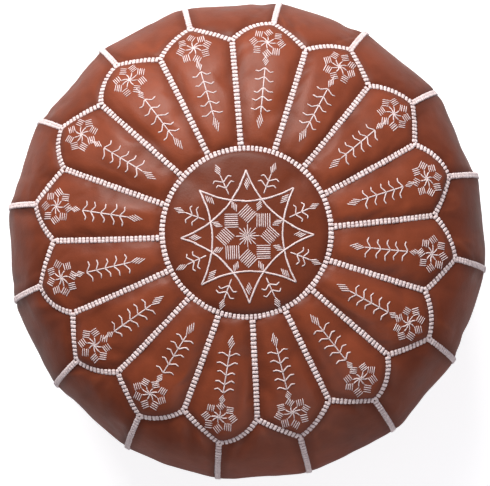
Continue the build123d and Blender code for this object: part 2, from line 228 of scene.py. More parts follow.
# ---- leather shape ----
def grown(distance, reach=SWELL):
    """0 at a seam, rising smoothly to 1 away from it."""
    return 1 - np.exp(-np.maximum(distance, 0) / reach)


def window(x, low, high, soft):
    """1 between low and high, fading to 0 over a soft margin."""
    return 1 / (1 + np.exp((low - x) / soft)) / (1 + np.exp((x - high) / soft))


def folds(across, along, rng, kind):
    """The lift of one kind of crease: each is a soft bent line, two in three of them sunk and one raised."""
    lift = np.zeros_like(across)
    for _ in range(kind.count):
        x0, y0 = rng.uniform(*kind.across), rng.uniform(*kind.along)
        length = rng.uniform(*kind.length)
        slope, bend = rng.uniform(*kind.lean), rng.uniform(-1.2, 1.2)
        run = along - y0
        off = across - x0 - slope * run - bend * run**2
        half = rng.uniform(*kind.width)
        side = rng.choice((-1, -1, 1))
        inside = window(run, 0, length, length * 0.12 + 1e-4)
        lift += side * rng.uniform(*kind.depth) * np.exp(-((off / half) ** 2)) * inside
    return lift


def lumps(points, rng, wave, height, count=7):
    """The stuffing's slow unevenness under the leather."""
    total = np.zeros(points.shape[:-1])
    for _ in range(count):
        direction = np.array([rng.gauss(0, 1) for _ in range(3)])
        direction *= 2 * math.pi / rng.uniform(*wave) / np.linalg.norm(direction)
        total += np.cos(points @ direction + rng.uniform(0, 2 * math.pi))
    return height * total / math.sqrt(count)


def crowded(count, crowd=0.45):
    """Positions from 0 to 1 that lie closer together near both ends."""
    u = np.linspace(0, 1, count)
    return u - crowd * np.sin(2 * math.pi * u) / (2 * math.pi)


class Patch:
    """One leather panel as a grid, with what its material needs to know at each point."""

    def __init__(self, name, points, seam, crease, node):
        self.name, self.node = name, node
        down, across = points[1:, :-1] - points[:-1, :-1], points[:-1, 1:] - points[:-1, :-1]
        outward = points[:-1, :-1] - [0, 0, HEIGHT / 2]
        inside_out = np.sum(np.cross(down, across) * outward) < 0
        order = slice(None, None, -1) if inside_out else slice(None)
        self.points, self.seam, self.crease = points[:, order], seam[:, order], crease[:, order]


def petal_patch(k):
    """A petal, from the medallion's seam to its pointed end."""
    rng = random.Random(SEEDS["petal"] + k)
    u, v = crowded(21) * 2 - 1, crowded(33)
    across_unit, v = np.meshgrid(u, v)
    theta = (k + 0.5) * STEP + HALF * across_unit
    s_end = edge_arc(theta)
    s = S_RING + (s_end - S_RING) * v
    half_width = along_skin(SKIN_R, s) * HALF
    across, along = half_width * across_unit, s - S_RING
    to_side, to_edge = half_width - np.abs(across), (s_end - s) * 0.9
    swell = grown(to_side) * grown(along) * grown(to_edge)
    lift = -SEAM_SINK + PETAL_RISE * swell * (0.8 + 0.2 * (1 - across_unit**2))
    crease = folds(across, along, rng, PETAL_CREASES) + folds(across, along, rng, PETAL_END_CREASES)
    seam = np.minimum(np.minimum(to_side, along), to_edge)
    calm = grown(seam, 4 * MM)
    lift = lift + (crease + lumps(skin(theta, s), rng, (0.05, 0.11), 0.9 * MM)) * calm
    points = skin(*laid(theta, s), lift)
    return Patch(f"petal_leather_{k + 1:02d}", points, seam, crease * calm, f"petal_panel_{k + 1:02d}")


def side_lift(s):
    """The lift of a side seam, which is drawn in further where the pouf stands."""
    return -SEAM_SINK - FOOT_SINK * window(s, S_FLOOR - 15 * MM, PAST_END, 6 * MM)


def side_patch(k):
    """A side panel, from the petals' ends over the round side and under the pouf to the base seam."""
    rng = random.Random(SEEDS["side"] + k)
    u, v = crowded(21) * 2 - 1, np.linspace(0, 1, 89)
    across_unit, v = np.meshgrid(u, v)
    theta = k * STEP + HALF * across_unit
    s_start = edge_arc(theta)
    s = s_start + (S_BASE - s_start) * v
    half_width = along_skin(SKIN_R, s) * HALF
    across, along = half_width * across_unit, s - s_start
    to_side, to_end = half_width - np.abs(across), S_BASE - s
    swell = grown(to_side) * grown(along) * grown(to_end)
    middle = 1 - across_unit**2
    standing = window(s, S_FLOOR - 12 * MM, PAST_END, 8 * MM)
    belly = window(s, S_BELLY - 75 * MM, S_FLOOR - 20 * MM, 22 * MM)
    lift = side_lift(s) * (1 - swell) - swell * belly * (FLATTEN * middle + SEAM_SINK)
    lift += swell * (1 - belly) * (1 - standing) * SHOULDER_RISE * middle
    crease = folds(across, along, rng, SIDE_CREASES) + folds(across, along, rng, GATHERS)
    foot = S_FLOOR - float(np.mean(s_start))    # where the panel first touches the floor
    crease += folds(across, along - foot, rng, FOOT_CREASES)
    seam = np.minimum(np.minimum(to_side, along), to_end)
    calm = grown(seam, 4 * MM)
    uneven = crease + lumps(skin(theta, s), rng, (0.06, 0.14), 1.2 * MM)
    lift = lift + uneven * calm * (1 - 0.85 * standing)
    points = skin(*laid(theta, s), lift)
    return Patch(f"side_leather_{k + 1:02d}", points, seam, crease * calm, f"side_panel_{k + 1:02d}")


def medallion_patch():
    """The centre disc as a square grid pressed into a circle."""
    rng = random.Random(SEEDS["medallion"])
    grid = np.linspace(-1, 1, 49)
    a, b = np.meshgrid(grid, grid)
    x = a * np.sqrt(1 - b**2 / 2)
    y = b * np.sqrt(1 - a**2 / 2)
    radius = np.minimum(np.hypot(x, y), 1) * RING_R
    theta = np.arctan2(y, x)
    s = arc_at(radius)
    to_seam = RING_R - radius
    crease = folds(x * RING_R, y * RING_R, rng, MEDALLION_CREASES)
    calm = grown(to_seam, 5 * MM)
    uneven = crease + lumps(skin(theta, s), rng, (0.05, 0.11), 0.7 * MM)
    lift = -SEAM_SINK + MEDALLION_RISE * grown(to_seam) + uneven * calm
    return Patch("medallion_leather", skin(*laid(theta, s), lift), to_seam, crease * calm, "medallion_panel")


def base_patch(side, name, node):
    """Half of the base disc, from the zip's edge to the base seam."""
    rng = random.Random(SEEDS["base"] + (side < 0))
    reach = math.sqrt(BASE_R**2 - ZIP_GAP**2)
    turn, v = np.meshgrid(np.sin(np.linspace(-math.pi / 2, math.pi / 2, 57)), crowded(29, 0.3))
    x = reach * turn
    rim = np.sqrt(np.maximum(BASE_R**2 - x**2, ZIP_GAP**2))
    y = ZIP_GAP + (rim - ZIP_GAP) * v
    to_zip, to_rim = y - ZIP_GAP, BASE_R - np.hypot(x, y)
    seam = np.minimum(to_zip, np.maximum(to_rim, 0))
    calm = grown(seam, 8 * MM)
    crease = folds(x, y, rng, BASE_CREASES)
    points = np.stack([x, y * side, np.full_like(x, BASE_LIFT)], axis=-1)
    sag = BASE_SAG * grown(to_rim, 20 * MM) * grown(to_zip, 12 * MM)
    points[..., 2] -= sag + (crease + lumps(points, rng, (0.05, 0.1), 0.5 * MM)) * calm
    return Patch(name, points, seam, crease, node)


def mesh_object(name, points, faces):
    """A smooth-shaded object in the scene."""
    mesh = bpy.data.meshes.new(name)
    mesh.from_pydata([tuple(p) for p in points], [], faces)
    mesh.update()
    mesh.polygons.foreach_set("use_smooth", [True] * len(mesh.polygons))
    thing = bpy.data.objects.new(name, mesh)
    bpy.context.scene.collection.objects.link(thing)
    return thing


def give(thing, label, values):
    """A number at each point of a mesh, for its material."""
    layer = thing.data.attributes.new(label, "FLOAT", "POINT")
    layer.data.foreach_set("value", np.asarray(values, dtype=np.float32).ravel())


def grid_faces(rows, columns, first=0):
    """Quads over a grid of points whose numbers start at first."""
    index = np.arange(rows * columns).reshape(rows, columns) + first
    quads = np.stack([index[:-1, :-1], index[1:, :-1], index[1:, 1:], index[:-1, 1:]], axis=-1)
    return quads.reshape(-1, 4).tolist()


def swelled(patches, frames=16):
    """The panels after a cloth simulation: held along every seam and pushed out by the stuffing."""
    points, faces, held = [], [], []
    for patch in patches:
        rows, columns = patch.points.shape[:2]
        first = sum(len(p) for p in points)
        faces += grid_faces(rows, columns, first)
        points.append(patch.points.reshape(-1, 3))
        fixed = patch.points[..., 2] < HELD_BELOW
        fixed[[0, -1], :] = fixed[:, [0, -1]] = True
        held.append(np.flatnonzero(fixed) + first)
    start = np.concatenate(points)
    cloth = mesh_object("swelling", start, faces)
    group = cloth.vertex_groups.new(name="held")
    group.add(np.concatenate(held).tolist(), 1.0, "REPLACE")
    modifier = cloth.modifiers.new("cloth", "CLOTH")
    settings = modifier.settings
    settings.quality = 5
    settings.mass = 0.4
    settings.tension_stiffness = settings.compression_stiffness = 40
    settings.shear_stiffness = 20
    settings.bending_stiffness = 3
    settings.air_damping = 6
    settings.use_pressure = True
    settings.uniform_pressure_force = 1.5
    settings.shrink_min = -0.006    # the leather is cut slightly large
    settings.vertex_group_mass = "held"
    settings.effector_weights.gravity = 0
    modifier.collision_settings.use_collision = False
    modifier.point_cache.frame_start, modifier.point_cache.frame_end = 1, frames
    for number in range(1, frames + 1):
        bpy.context.scene.frame_set(number)
    done = cloth.evaluated_get(bpy.context.evaluated_depsgraph_get()).to_mesh()
    moved = np.empty(len(start) * 3, dtype=np.float32)
    done.vertices.foreach_get("co", moved)
    moved = moved.reshape(-1, 3) - start
    length = np.linalg.norm(moved, axis=1, keepdims=True)
    moved *= MOST_SWELL * np.tanh(length / MOST_SWELL) / np.maximum(length, 1e-9)
    at = 0
    for patch in patches:
        size = patch.points[..., 0].size
        patch.points = patch.points + moved[at:at + size].reshape(patch.points.shape)
        at += size
    bpy.data.objects.remove(cloth, do_unlink=True)
    bpy.context.scene.frame_set(1)


def refined(thing, thickness):
    """The object's mesh after one subdivision and, where a thickness is given, with a back and an edge."""
    smooth = thing.modifiers.new("smooth", "SUBSURF")
    smooth.levels = smooth.render_levels = 1
    smooth.boundary_smooth = "PRESERVE_CORNERS"
    if thickness:
        back = thing.modifiers.new("back", "SOLIDIFY")
        back.thickness, back.offset = thickness, -1
    mesh = bpy.data.meshes.new_from_object(thing.evaluated_get(bpy.context.evaluated_depsgraph_get()))
    thing.modifiers.clear()
    return mesh


def leather_pieces(patches, material):
    """One piece for each panel. Returns the leather's outer face as a tree for rays."""
    points, faces = [], []
    for number, patch in enumerate(patches):
        rows, columns = patch.points.shape[:2]
        piece = mesh_object(patch.name, patch.points.reshape(-1, 3), grid_faces(rows, columns))
        give(piece, "seam", patch.seam)
        give(piece, "crease", patch.crease)
        tone = HIDE_TONES[patch.name.split("_")[0]]
        tone += random.Random(SEEDS["hide"] + number).uniform(-0.5, 0.5)
        give(piece, "tone", np.full(patch.seam.size, tone))
        face = refined(piece, 0)
        first = sum(len(p) for p in points)
        points.append([v.co.copy() for v in face.vertices])
        faces += [[i + first for i in f.vertices] for f in face.polygons]
        piece.data = refined(piece, LEATHER)
        piece.data.materials.append(material)
        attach(piece, "cover")
        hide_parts(patch.node)
    return BVHTree.FromPolygons([p for block in points for p in block], faces)


# ---- hand stitching along the seams ----
def stitch_template(around=8, rings=5):
    """A rounded block of thread, with points within -1..1 on each axis."""

    def squared(value, power):
        return math.copysign(abs(value) ** power, value)

    points, faces = [(0, 0, 1)], []
    for ring in range(1, rings):
        tilt = math.pi * ring / rings
        edge, height = math.sin(tilt) ** 0.5, squared(math.cos(tilt), 0.75)
        for k in range(around):
            a = 2 * math.pi * (k + 0.5) / around
            points.append((edge * squared(math.cos(a), 0.42), edge * squared(math.sin(a), 0.42), height))
    points.append((0, 0, -1))
    last = len(points) - 1
    for k in range(around):
        after = (k + 1) % around
        faces.append((0, 1 + k, 1 + after))
        for ring in range(rings - 2):
            low = 1 + ring * around
            faces.append((low + k, low + around + k, low + around + after, low + after))
        faces.append((last, 1 + (rings - 2) * around + after, 1 + (rings - 2) * around + k))
    return np.array(points, dtype=float), faces


STITCH_POINTS, STITCH_FACES = stitch_template()


def run_along(points):
    """How far along a line each of its points lies."""
    steps = np.linalg.norm(np.diff(points, axis=0), axis=1)
    return np.concatenate([[0], np.cumsum(steps)])


def unit(vectors):
    return vectors / np.linalg.norm(vectors, axis=1, keepdims=True)


class Path:
    """A seam's line on the cover, which gives a place and its directions at any distance along it."""

    def __init__(self, theta, s, lift):
        theta, s = laid(theta, s)
        self.points = skin(theta, s, lift)
        self.normals = skin_normal(theta, s)
        self.length = run_along(self.points)

    def at(self, distance):
        """Places, directions, normals and cross directions at distances along the seam."""

        def read(rows, d):
            return np.stack([np.interp(d, self.length, rows[:, i]) for i in range(3)], axis=-1)

        place = read(self.points, distance)
        ahead = read(self.points, np.minimum(distance + 1 * MM, self.length[-1]))
        behind = read(self.points, np.maximum(distance - 1 * MM, 0))
        direction = unit(ahead - behind)
        normal = read(self.normals, distance)
        normal = unit(normal - direction * np.sum(normal * direction, axis=1, keepdims=True))
        return place, direction, normal, np.cross(normal, direction)


def stitched(name, paths, node, materials, seed):
    """Two rows of thread blocks on a low leather welt, along every path of a seam."""
    rng = np.random.default_rng(seed)
    thread, leather = materials
    points, faces, shade, strand = [], [], [], []
    welt_points, welt_faces = [], []
    total = welt_total = 0
    for path in paths:
        count = max(1, int(round(path.length[-1] / RUNG)))
        pitch = path.length[-1] / count
        for row in (-1, 1):
            shift = rng.normal(0, 0.10 * MM, count)
            place, along, up, across = path.at(pitch * (np.arange(count) + 0.5) + shift)
            size = np.array(BLOCK) * rng.normal(1, 0.035, (count, 3))
            size[:, 0] *= pitch / RUNG
            yaw = rng.normal(0.10 * row, 0.05, count)[:, None]
            forward = along * np.cos(yaw) + across * np.sin(yaw)
            sideways = across * np.cos(yaw) - along * np.sin(yaw)
            lean = up - across * row * 0.16
            axes = np.stack([forward, sideways, lean], axis=1) * size[:, :, None]
            seat = BLOCK_SEAT + rng.normal(0, 0.06 * MM, (count, 1))
            centre = place + across * (row * ROW_OFFSET) + up * seat
            centre += across * rng.normal(0, 0.08 * MM, (count, 1))
            points.append((centre[:, None] + STITCH_POINTS @ axes).reshape(-1, 3))
            each = len(STITCH_POINTS)
            for k in range(count):
                faces += [tuple(i + total + k * each for i in f) for f in STITCH_FACES]
            total += count * each
            shade.append(np.repeat(rng.uniform(-1, 1, count), each))
            strand.append(np.tile(STITCH_POINTS[:, 0] + 0.25 * STITCH_POINTS[:, 1], count))
        welt, ring = welt_strip(path)
        welt_faces += grid_faces(*ring, welt_total)
        welt_points.append(welt)
        welt_total += len(welt)
    blocks = np.concatenate(points)
    blocks[:, 2] = np.maximum(blocks[:, 2], FLOOR_CLEAR)
    piece = mesh_object(name + "_stitches", blocks, faces)
    give(piece, "shade", np.concatenate(shade))
    give(piece, "strand", np.concatenate(strand))
    finish_piece(piece, thread)
    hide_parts(node)
    under = np.concatenate(welt_points)
    under[:, 2] = np.maximum(under[:, 2], FLOOR_CLEAR)
    welt_piece = mesh_object(name + "_welt", under, welt_faces)
    # A seam distance of 0 gives the welt the leather's full darkening by the seams, which is partly painted
    # shade. Its tone of -0.6 makes it darker still.
    give(welt_piece, "seam", np.zeros(len(under)))
    give(welt_piece, "crease", np.zeros(len(under)))
    give(welt_piece, "tone", np.full(len(under), -0.6))
    finish_piece(welt_piece, leather)


def welt_strip(path, columns=7):
    """The folded edge under the thread: a low closed hump along the path."""
    count = max(3, int(path.length[-1] / (2.5 * MM)))
    place, _, up, across = path.at(np.linspace(0, path.length[-1], count))
    profile = []
    half, height = WELT
    for k in range(columns):
        a = math.pi * k / (columns - 1)
        profile.append((math.cos(a) * half, math.sin(a) * height + WELT_TOP))
    profile += [(-half, WELT_FOOT), (half, WELT_FOOT), profile[0]]
    strip = np.stack([place + across * x + up * z for x, z in profile], axis=1)
    return strip.reshape(-1, 3), (count, len(profile))


def finish_piece(piece, material, body="cover"):
    """What every new piece needs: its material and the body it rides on."""
    piece.data.materials.append(material)
    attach(piece, body)


def seam_paths():
    """The seams' lines. The petals' ends are sewn on in one round, and the other seams butt against it."""
    fine = 60
    ring = np.linspace(0, 2 * math.pi, 400)
    zigzag = np.linspace(0, 2 * math.pi, 2 * fine * PETALS + 1)
    half_seam = ROW_OFFSET + BLOCK[1]
    valley = float(arc_at(VALLEY_R)) - 0.7 * half_seam
    tip = float(arc_at(TIP_R)) + 0.35 * half_seam
    radial, side = [], []
    for k in range(PETALS):
        down = np.linspace(S_RING + half_seam, valley, fine)
        radial.append(Path(np.full(fine, k * STEP), down, -SEAM_SINK))
        down = np.linspace(tip, S_BASE - half_seam, 4 * fine)
        side.append(Path(np.full(4 * fine, (k + 0.5) * STEP), down, side_lift(down)))
    return {
        "medallion_seam": [Path(ring, np.full(400, S_RING), -SEAM_SINK)],
        "petal_seams": radial,
        "arch_seams": [Path(zigzag, edge_arc(zigzag), -SEAM_SINK)],
        "side_seams": side,
        "base_seam": [Path(ring, np.full(400, S_BASE), -SEAM_SINK)],
    }


# ---- embroidery ----
def polar(radius, angle):
    return radius * np.array([math.cos(angle), math.sin(angle)])


def stroke_of(points, half=PLAIN):
    """A stroke: points in plan with the thread's half width as a third number."""
    points = np.asarray(points, dtype=float)
    return np.column_stack([points, np.full(len(points), half)])


def rounded(points, times=2, cut=0.25):
    """A polyline with its corners cut."""
    points = np.asarray(points, dtype=float)
    for _ in range(times):
        early = points[:-1] * (1 - cut) + points[1:] * cut
        late = points[:-1] * cut + points[1:] * (1 - cut)
        inner = np.stack([early, late], axis=1).reshape(-1, 2)
        points = np.concatenate([points[:1], inner[1:-1], points[-1:]])
    return points


def hatched(corners, count, flip, rng, loose=0.14 * MM):
    """Satin stitches that fill a four-sided shape, parallel to one pair of its sides."""
    a, b, c, d = [np.asarray(p, dtype=float) for p in (corners[flip:] + corners[:flip])]
    strokes = []
    for k in range(count):
        t = (k + 0.35) / (count - 0.3)
        shake = [np.array([rng.gauss(0, loose), rng.gauss(0, loose)]) for _ in range(2)]
        strokes.append(stroke_of([a + (d - a) * t + shake[0], b + (c - b) * t + shake[1]], FINE))
    return strokes


def diamond(near, far, width):
    """The corners of a lozenge along x."""
    middle = (near + far) / 2
    return [(near, 0.0), (middle, width / 2), (far, 0.0), (middle, -width / 2)]


def lozenge(near, far, width, rng, flip=None, loose=0.12 * MM):
    """A lozenge of four stitches, which run along either pair of its sides unless flip says which."""
    if flip is None:
        flip = rng.choice((0, 1))
    return hatched(diamond(near, far, width), 4, flip, rng, loose)


def bar(near, far, half=PLAIN):
    return stroke_of([(near, 0.0), (far, 0.0)], half)


def sprig(nodes, tip, arm, hook, bend, rng):
    """A stem along x. Its arms lean towards the tip and end in a hook that is bent back by an angle."""
    lean = math.copysign(1.0, tip - nodes[0])
    stops = list(nodes) + [tip]
    strokes = [bar(a, b) for a, b in zip(stops[:-1], stops[1:])]
    for x in nodes:
        for side in (1, -1):
            slant = math.radians(rng.gauss(54, 4))
            reach = arm * rng.gauss(1, 0.06)
            elbow = np.array([x + lean * reach * math.cos(slant), side * reach * math.sin(slant)])
            back = bend + rng.gauss(0, 0.12)
            end = elbow + np.array([-lean * math.sin(back), side * math.cos(back)]) * hook * rng.gauss(1, 0.1)
            strokes.append(stroke_of(rounded([(x, 0.0), elbow, end], 1, 0.12)))
    return strokes


def petal_motif(rng):
    """A rosette of eight hatched squares, and a sprig from it towards the crown, along +x."""
    hub = np.array([199.5 * MM, 0.0])
    along, across, diagonal = 12.3 * MM, 14.6 * MM, 3.9 * MM * math.sqrt(2)
    stem_start, pitch, stem_end = 172.4 * MM, 10 * MM, 125 * MM
    strokes = []
    for k in range(8):
        turn = math.radians(45 * k)
        c, s = math.cos(turn), math.sin(turn)
        centre = hub + [along * c + rng.gauss(0, 0.3 * MM), across * s + rng.gauss(0, 0.3 * MM)]
        outward, sideways = polar(diagonal, turn), polar(diagonal, turn + math.pi / 2)
        corners = [centre + outward, centre + sideways, centre - outward, centre - sideways]
        strokes += hatched(corners, 4, k % 2, rng)
        inner = corners[2]
        swirl = hub + (inner - hub) * 0.55 + sideways * 0.17
        strokes.append(stroke_of(rounded([hub, swirl, inner])))
    strokes += lozenge(185.6 * MM, 173.6 * MM, 7 * MM, rng, loose=0.1 * MM)
    strokes.append(bar(187.8 * MM, 185 * MM))
    nodes = [stem_start - pitch * k + rng.gauss(0, 0.5 * MM) for k in range(5)]
    strokes += sprig(nodes, stem_end, arm=7.9 * MM, hook=4.3 * MM, bend=0.24, rng=rng)
    strokes += lozenge(125.8 * MM, 108 * MM, 7.6 * MM, rng, loose=0.1 * MM)
    return strokes


def turned(strokes, angle, shift=(0.0, 0.0)):
    """Strokes turned about the crown and then shifted."""
    c, s = math.cos(angle), math.sin(angle)
    matrix = np.array([[c, s, 0], [-s, c, 0], [0, 0, 1]])
    return [stroke @ matrix + [*shift, 0.0] for stroke in strokes]


def medallion_motif(rng):
    """Two crossed squares with bowed sides, lozenges in and between their points, and eight sprigs."""
    star_r, waist, pieces, overlap = 69.5 * MM, 23.9 * MM, 13, 0.02
    near, far = 12.8 * MM, 33.6 * MM    # the hatched squares round the centre
    cuts = np.linspace(0, 1, pieces + 1)
    strokes = []
    for k in range(8):
        turn = math.radians(45 * k)
        first, last = polar(star_r, turn), polar(star_r, turn + math.pi / 2)
        bow = polar(waist, turn + math.pi / 4)
        for a, b in zip(cuts[:-1], cuts[1:]):
            t = np.linspace(max(a - overlap, 0), min(b + overlap, 1), 4)[:, None]
            line = first * (1 - t) ** 2 + bow * 2 * t * (1 - t) + last * t**2
            strokes.append(stroke_of(line + [rng.gauss(0, 0.16 * MM), rng.gauss(0, 0.16 * MM)], HEAVY))
        inner = hatched(diamond(far, near, far - near), 7, k % 2, rng, 0.15 * MM)
        inner += lozenge(47.5 * MM, 61.5 * MM, 6.8 * MM, rng, k % 2)
        inner.append(bar(0.5 * MM, 12.4 * MM, FINE))
        strokes += turned(inner, turn + rng.gauss(0, 0.012))
        outer = lozenge(27.4 * MM, 40.6 * MM, 6.8 * MM, rng)
        outer.append(bar(2.6 * MM, 9.4 * MM, FINE))
        outer.append(bar(47.4 * MM, 54.6 * MM))
        outer += sprig([54.6 * MM, 61.3 * MM], 69.4 * MM, arm=8.2 * MM, hook=3.9 * MM, bend=0.55, rng=rng)
        outer += lozenge(68.6 * MM, 82.6 * MM, 6.6 * MM, rng)
        strokes += turned(outer, turn + math.pi / 8 + rng.gauss(0, 0.015))
    return strokes


def thread_work(name, strokes, surface, material, node, sides=6):
    """Each stroke as a flattened round thread that lies on the leather and dips in at its ends."""
    points, faces, strand, shade = [], [], [], []
    rng = random.Random(len(strokes))
    spacing, taper, twist = 1.9 * MM, 1.3 * MM, 1.5 * MM
    total = 0
    for stroke in strokes:
        run = run_along(stroke[:, :2])
        count = max(5, int(run[-1] / spacing) + 3)
        eased = 0.5 - 0.5 * np.cos(np.linspace(0, math.pi, count))    # closer together at both ends
        t = np.unique(np.round(np.concatenate([run[-1] * (eased + np.linspace(0, 1, count)) / 2, run]), 5))
        t[-1] = run[-1]
        count = len(t)
        plan = np.stack([np.interp(t, run, stroke[:, i]) for i in range(2)], axis=-1)
        place, up = [], []
        for x, y in plan:
            hit, normal, _, _ = surface.ray_cast(Vector((x, y, 1.0)), Vector((0, 0, -1)))
            place.append(hit)
            up.append(normal)
        place, up = np.array(place, dtype=float), np.array(up, dtype=float)
        up = np.where(up[:, 2:] < 0, -up, up)
        across = unit(np.cross(up, unit(np.gradient(place, axis=0))))
        end = np.minimum(t, run[-1] - t)
        full = np.clip(0.42 + end / taper, 0, 1)
        wide = stroke[0, 2] * rng.gauss(1, 0.05)
        rings = []
        for k in range(sides):
            a = 2 * math.pi * k / sides
            side = across * (math.cos(a) * wide * full)[:, None]
            high = up * ((math.sin(a) * THREAD_HEIGHT * wide + THREAD_SEAT) * full - THREAD_DIP)[:, None]
            rings.append(place + side + high)
        points.append(np.stack(rings, axis=1).reshape(-1, 3))
        for low in range(total, total + (count - 1) * sides, sides):
            for k in range(sides):
                after = (k + 1) % sides
                faces.append((low + k, low + after, low + sides + after, low + sides + k))
        faces.append(tuple(total + k for k in reversed(range(sides))))
        faces.append(tuple(total + (count - 1) * sides + k for k in range(sides)))
        total += count * sides
        turns = t[:, None] / twist + np.arange(sides)[None] / sides
        strand.append(turns.ravel())
        shade.append(np.full(count * sides, rng.uniform(-1, 1)))
    piece = mesh_object(name, np.concatenate(points), faces)
    give(piece, "strand", np.concatenate(strand))
    give(piece, "shade", np.concatenate(shade))
    finish_piece(piece, material)
    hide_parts(node)


# ---- materials ----
class Nodes:
    """A node tree that is built line by line."""

    def __init__(self, tree):
        self.tree = tree

    def node(self, kind, inputs=None, **settings):
        made = self.tree.nodes.new("ShaderNode" + kind)
        for key, value in settings.items():
            setattr(made, key, value)
        for key, value in (inputs or {}).items():
            self.put(made.inputs[key], value)
        return made

    def put(self, socket, value):
        if isinstance(value, bpy.types.NodeSocket):
            self.tree.links.new(value, socket)
        else:
            socket.default_value = value

    def number(self, label):
        """What give() stored at each point of a mesh."""
        return self.node("Attribute", attribute_name=label).outputs["Fac"]

    def math(self, operation, a, b=0.0, c=0.0):
        return self.node("Math", {0: a, 1: b, 2: c}, operation=operation).outputs[0]

    def ranged(self, value, low, high, to_low, to_high):
        """The value's way from low to high, as a number that goes from to_low to to_high and stays there."""
        return self.node("MapRange", {0: value, 1: low, 2: high, 3: to_low, 4: to_high}).outputs[0]

    def mix(self, factor, a, b):
        made = self.node("Mix", data_type="RGBA")
        for socket, value in ((0, factor), (6, a), (7, b)):    # the factor's and the two colours' sockets
            self.put(made.inputs[socket], value)
        return made.outputs[2]

    def noise(self, scale, detail, rough, place):
        inputs = {"Scale": scale, "Detail": detail, "Roughness": rough, "Vector": place}
        return self.node("TexNoise", inputs).outputs["Fac"]

    def place(self):
        return self.node("TexCoord").outputs["Object"]

    def bump(self, height, distance, strength, before=None):
        inputs = {"Height": height, "Distance": distance, "Strength": strength}
        if before is not None:
            inputs["Normal"] = before
        return self.node("Bump", inputs).outputs[0]


class Shader(Nodes):
    """A material on the Principled shader."""

    def __init__(self, name):
        self.material = bpy.data.materials.new(name)
        self.material.use_nodes = True
        super().__init__(self.material.node_tree)

    def set(self, **values):
        surface = self.tree.nodes["Principled BSDF"]
        for key, value in values.items():
            self.put(surface.inputs[key.replace("_", " ")], value)


def leather_material():
    """Hand-dyed tan leather: cloudy, darker along seams partly by dye and partly as painted shade, with
    painted shade in sunk creases and a painted highlight on raised ones, finely grained and waxed.
    """
    s = Shader("tan_leather")
    place = s.place()
    dark, light = (0.140, 0.029, 0.0105, 1), (0.265, 0.058, 0.0225, 1)
    # The first colour darkens the leather by the seams, partly as dye and partly as painted shade. The second
    # is painted shade in sunk creases.
    seam_dye_and_shade, crease_shade_colour = (0.082, 0.016, 0.0065, 1), (0.100, 0.021, 0.008, 1)
    # A painted highlight for the raised creases.
    ridge_highlight_colour = (0.330, 0.085, 0.034, 1)
    cloud = s.noise(7.0, 4.0, 0.6, place)
    mottle = s.noise(46.0, 4.0, 0.6, place)
    level = s.math("MULTIPLY_ADD", cloud, 0.75, s.math("MULTIPLY", s.number("tone"), 0.1))
    level = s.math("MULTIPLY_ADD", mottle, 0.35, level)
    colour = s.mix(s.ranged(level, 0.35, 0.8, 0.0, 1.0), dark, light)
    # Darker towards the seams: partly dye, partly painted shade where the leather dips to the seam. The same
    # mask also makes the leather rougher there.
    edge = s.ranged(s.number("seam"), 2 * MM, 13 * MM, 0.62, 0.0)
    colour = s.mix(edge, colour, seam_dye_and_shade)
    # Painted shade in the sunk creases.
    crease_shade = s.ranged(s.number("crease"), -1.4 * MM, 0.0, 0.35, 0.0)
    colour = s.mix(crease_shade, colour, crease_shade_colour)
    # Painted highlight on the raised creases.
    ridge_highlight = s.ranged(s.number("crease"), 0.2 * MM, 1.4 * MM, 0.0, 0.30)
    colour = s.mix(ridge_highlight, colour, ridge_highlight_colour)
    pore = s.node("TexVoronoi", {"Vector": place, "Scale": 780.0}).outputs["Distance"]
    grain = s.noise(420.0, 3.0, 0.6, place)
    wrinkle = s.noise(95.0, 4.0, 0.62, place)
    rough = s.ranged(s.noise(30.0, 4.0, 0.6, place), 0.3, 0.7, 0.40, 0.54)
    rough = s.math("ADD", rough, s.math("MULTIPLY", edge, 0.18))
    normal = s.bump(wrinkle, 0.60 * MM, 0.55)
    normal = s.bump(grain, 0.18 * MM, 0.6, normal)
    normal = s.bump(pore, 0.12 * MM, 0.5, normal)
    s.set(Base_Color=colour, Roughness=rough, Normal=normal, Specular_IOR_Level=0.2)
    s.set(Coat_Weight=0.05, Coat_Roughness=0.25)
    return s.material


def thread_material():
    """Satin silk thread in a pinkish white, with fine strands across it and painted shade between them."""
    s = Shader("silk_thread")
    dark, light, between = (0.78, 0.64, 0.62, 1), (0.92, 0.79, 0.77, 1), (0.55, 0.40, 0.36, 1)
    fuzz = s.noise(900.0, 2.0, 0.5, s.place())
    colour = s.mix(s.ranged(s.number("shade"), -1.0, 1.0, 0.0, 1.0), dark, light)
    strands = s.math("SINE", s.math("MULTIPLY", s.number("strand"), 17.0))
    # Painted shade in the gaps between the strands, where their bump dips.
    colour = s.mix(s.ranged(strands, -1.0, -0.2, 0.22, 0.0), colour, between)
    normal = s.bump(strands, 0.10 * MM, 0.6)
    normal = s.bump(fuzz, 0.06 * MM, 0.5, normal)
    s.set(Base_Color=colour, Normal=normal, Roughness=s.ranged(fuzz, 0.3, 0.7, 0.42, 0.6))
    s.set(Sheen_Weight=0.25, Sheen_Roughness=0.4)
    return s.material


def cloth_material(name, light, dark, scale):
    """A plain woven cloth."""
    s = Shader(name)
    place = s.place()
    threads = {"Vector": place, "Scale": scale, "Distortion": 0.6}
    warp, weft = [s.node("TexWave", threads, bands_direction=axis).outputs["Fac"] for axis in ("X", "Y")]
    weave = s.math("MULTIPLY", warp, weft)
    cloud = s.noise(40.0, 3.0, 0.6, place)
    colour = s.mix(s.math("MULTIPLY_ADD", weave, 0.6, s.math("MULTIPLY", cloud, 0.4)), dark, light)
    s.set(Base_Color=colour, Normal=s.bump(weave, 0.2 * MM, 0.6))
    s.set(Roughness=s.ranged(cloud, 0.3, 0.7, 0.75, 0.92))
    return s.material


